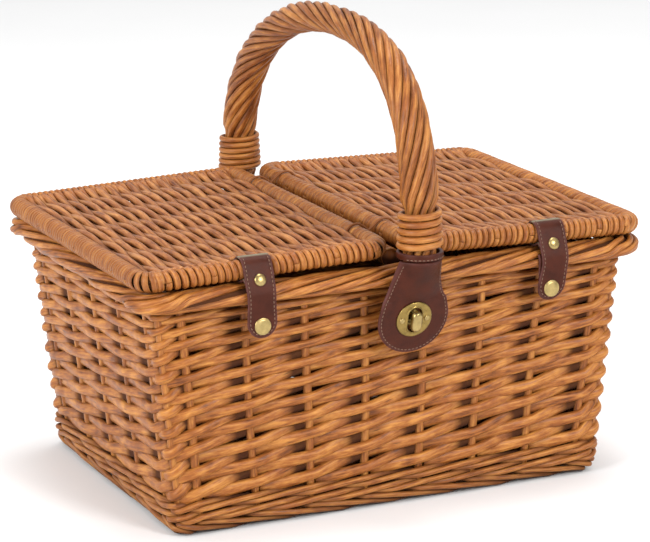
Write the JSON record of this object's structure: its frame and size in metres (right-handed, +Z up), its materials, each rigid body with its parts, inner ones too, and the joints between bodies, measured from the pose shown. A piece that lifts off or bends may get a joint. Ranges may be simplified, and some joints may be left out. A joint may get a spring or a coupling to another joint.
{
  "type": "picnic basket",
  "caption": "Rectangular woven picnic basket with hinged lids, a roped bow handle, leather straps and a turn lock.",
  "frame": {"origin": "centre of the basket's footprint, on the surface that it stands on", "axes": "+Z up; +X along the basket's long side, to the right as seen from the front; the side with the leather straps and the turn lock faces -Y"},
  "size_m": [0.4386, 0.3828, 0.3806],
  "materials": {
    "willow": "steamed willow rods, satin, honey brown",
    "willow_stake": "steamed willow rods, matte, darker brown",
    "cane": "peeled rods, smooth satin",
    "leather": "dark brown leather, stitched edges",
    "brass": "satin brass plating"
  },
  "bodies": {
    "basket": {"base_panel": "willow", "foot_border": "willow", "side_weave": "willow", "top_border": "willow", "centre_cross_bar": "cane", "handle_rope": "cane", "handle_front_binding": "cane", "handle_rear_binding": "cane", "handle_collar": "leather", "clasp_base": "brass", "left_hinge_tie_front": "brass", "left_hinge_tie_back": "brass", "right_hinge_tie_front": "brass", "right_hinge_tie_back": "brass", "left_keeper": "leather", "right_keeper": "leather", "front_stake_1": "willow_stake", "front_stake_2": "willow_stake", "front_stake_3": "willow_stake", "front_stake_4": "willow_stake", "front_stake_5": "willow_stake", "front_stake_6": "willow_stake", "front_stake_7": "willow_stake", "front_stake_8": "willow_stake", "back_stake_1": "willow_stake", "back_stake_2": "willow_stake", "back_stake_3": "willow_stake", "back_stake_4": "willow_stake", "back_stake_5": "willow_stake", "back_stake_6": "willow_stake", "back_stake_7": "willow_stake", "back_stake_8": "willow_stake", "left_stake_1": "willow_stake", "left_stake_2": "willow_stake", "left_stake_3": "willow_stake", "left_stake_4": "willow_stake", "left_stake_5": "willow_stake", "right_stake_1": "willow_stake", "right_stake_2": "willow_stake", "right_stake_3": "willow_stake", "right_stake_4": "willow_stake", "right_stake_5": "willow_stake", "corner_stake_front_left": "willow_stake", "corner_stake_front_right": "willow_stake", "corner_stake_back_left": "willow_stake", "corner_stake_back_right": "willow_stake"},
    "left_lid": {"left_lid_frame": "cane", "left_lid_panel": "willow"},
    "right_lid": {"right_lid_frame": "cane", "right_lid_panel": "willow"},
    "left_strap_body": {"left_strap": "leather", "left_strap_rivet": "brass", "left_snap_cap": "brass"},
    "right_strap_body": {"right_strap": "leather", "right_strap_rivet": "brass", "right_snap_cap": "brass"},
    "tab": {"clasp_tab": "leather", "clasp_plate": "brass"},
    "turn_button": {"clasp_button": "brass"}
  },
  "joints": [
    {"name": "left_lid_hinge", "type": "hinge", "parent": "basket", "child": "left_lid", "pos_m": [-0.0142, 0, 0.21202], "axis": [0, 1, 0], "range_deg": [0, 83]},
    {"name": "right_lid_hinge", "type": "hinge", "parent": "basket", "child": "right_lid", "pos_m": [0.0142, 0, 0.21202], "axis": [0, -1, 0], "range_deg": [0, 79]},
    {"name": "left_strap_swing", "type": "hinge", "parent": "left_lid", "child": "left_strap_body", "pos_m": [-0.122, -0.145, 0.20921], "axis": [-0.9997, 0, -0.026], "range_deg": [0, 90]},
    {"name": "right_strap_swing", "type": "hinge", "parent": "right_lid", "child": "right_strap_body", "pos_m": [0.1288, -0.145, 0.20903], "axis": [-0.9997, 0, 0.026], "range_deg": [0, 90]},
    {"name": "tab_fold", "type": "hinge", "parent": "basket", "child": "tab", "pos_m": [0.0042, -0.19, 0.2081], "axis": [-1, 0, 0], "range_deg": [0, 100]},
    {"name": "turn_button_turn", "type": "hinge", "parent": "basket", "child": "turn_button", "pos_m": [0.0042, -0.16153, 0.1583], "axis": [0, -0.9657, -0.2598], "range_deg": [0, 90]}
  ]
}
